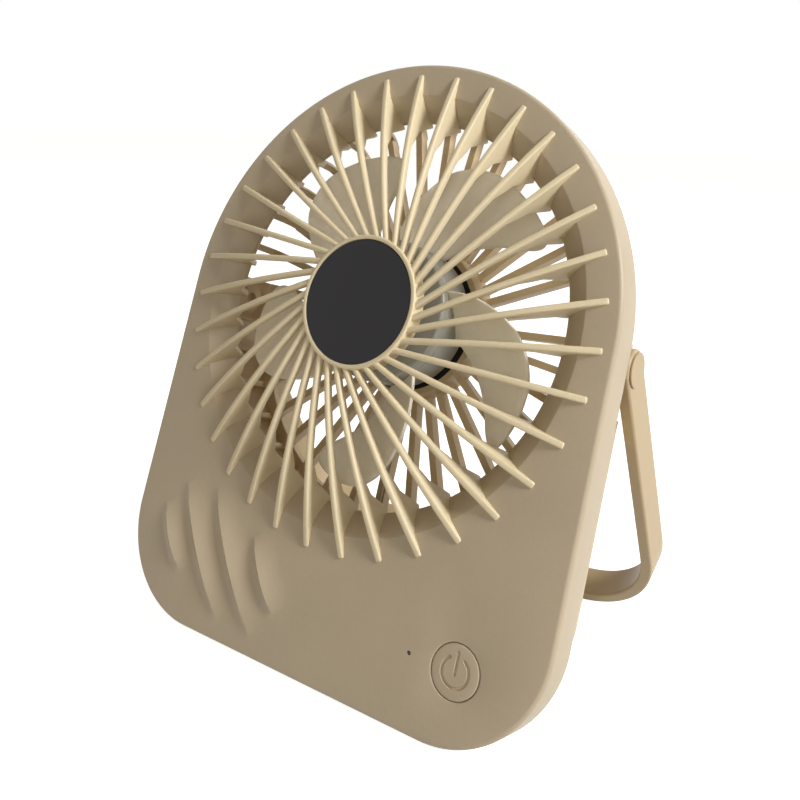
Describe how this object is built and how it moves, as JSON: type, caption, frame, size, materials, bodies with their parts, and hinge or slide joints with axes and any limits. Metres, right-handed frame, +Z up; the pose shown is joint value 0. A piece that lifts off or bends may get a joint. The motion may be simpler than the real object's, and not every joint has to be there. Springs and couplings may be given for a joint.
{
  "type": "rechargeable desk fan",
  "caption": "Slim arch-topped desk fan with a swirling rib grille, a push button low on the face and a U-shaped band that folds out behind as its stand.",
  "frame": {"origin": "on the table, at the middle of the box round the standing fan", "axes": "+Z up from the table, +X to the fan's right as seen from the front, -Y towards the user; the face leans back by 20.2 degrees"},
  "size_m": [0.1512, 0.1024, 0.174],
  "materials": {
    "casing_plastic": "fine satin moulding",
    "stand_plastic": "fine satin moulding",
    "blade_plastic": "satin moulding, grey hub",
    "badge_black": "semi-matt black",
    "washer_rubber": "matt",
    "steel": "plain",
    "magnet": "ferrite, matt",
    "copper": "enamelled copper",
    "board": "solder mask",
    "switch_black": "matt",
    "lens": "clear, milky",
    "cell_wrap": "shrink film over a metal can",
    "wire": "soft insulation"
  },
  "bodies": {
    "casing": {"front_casing": "casing_plastic", "hub_badge": "badge_black", "rear_casing": "casing_plastic", "left_pivot_pin": "stand_plastic", "right_pivot_pin": "stand_plastic", "left_friction_washer": "washer_rubber", "right_friction_washer": "washer_rubber", "front_bearing": "steel", "rear_bearing": "steel", "stator_core": "steel", "stator_windings": "copper", "motor_board": "board", "tact_switch": "switch_black", "control_board": "board", "board_screws": "steel", "status_led": "lens", "led_lens": "lens", "case_screws": "steel", "charge_board": "board", "usb_socket": "steel", "battery_cell": "cell_wrap", "battery_tabs": "steel", "battery_leads": "wire", "motor_lead": "wire", "charge_lead": "wire"},
    "rotor": {"fan_impeller": "blade_plastic", "rotor_yoke": "steel", "magnet_ring": "magnet", "motor_shaft": "steel", "shaft_clip": "steel"},
    "button": {"power_button": "casing_plastic", "switch_plunger": "switch_black"},
    "stand": {"stand": "stand_plastic"}
  },
  "joints": [
    {"name": "stand_fold", "type": "hinge", "parent": "casing", "child": "stand", "pos_m": [0, 0.00029, 0.09532], "axis": [1, 0, 0], "range_deg": [-46.6, 133.4]},
    {"name": "rotor_spin", "type": "hinge", "parent": "casing", "child": "rotor", "pos_m": [0, -0.01463, 0.104], "axis": [0, -0.9386, 0.345], "continuous": true},
    {"name": "button_press", "type": "slide", "parent": "casing", "child": "button", "axis": [0, 0.9386, -0.345], "range_m": [0, 0.0006], "stiffness_N_per_m": 3000}
  ]
}
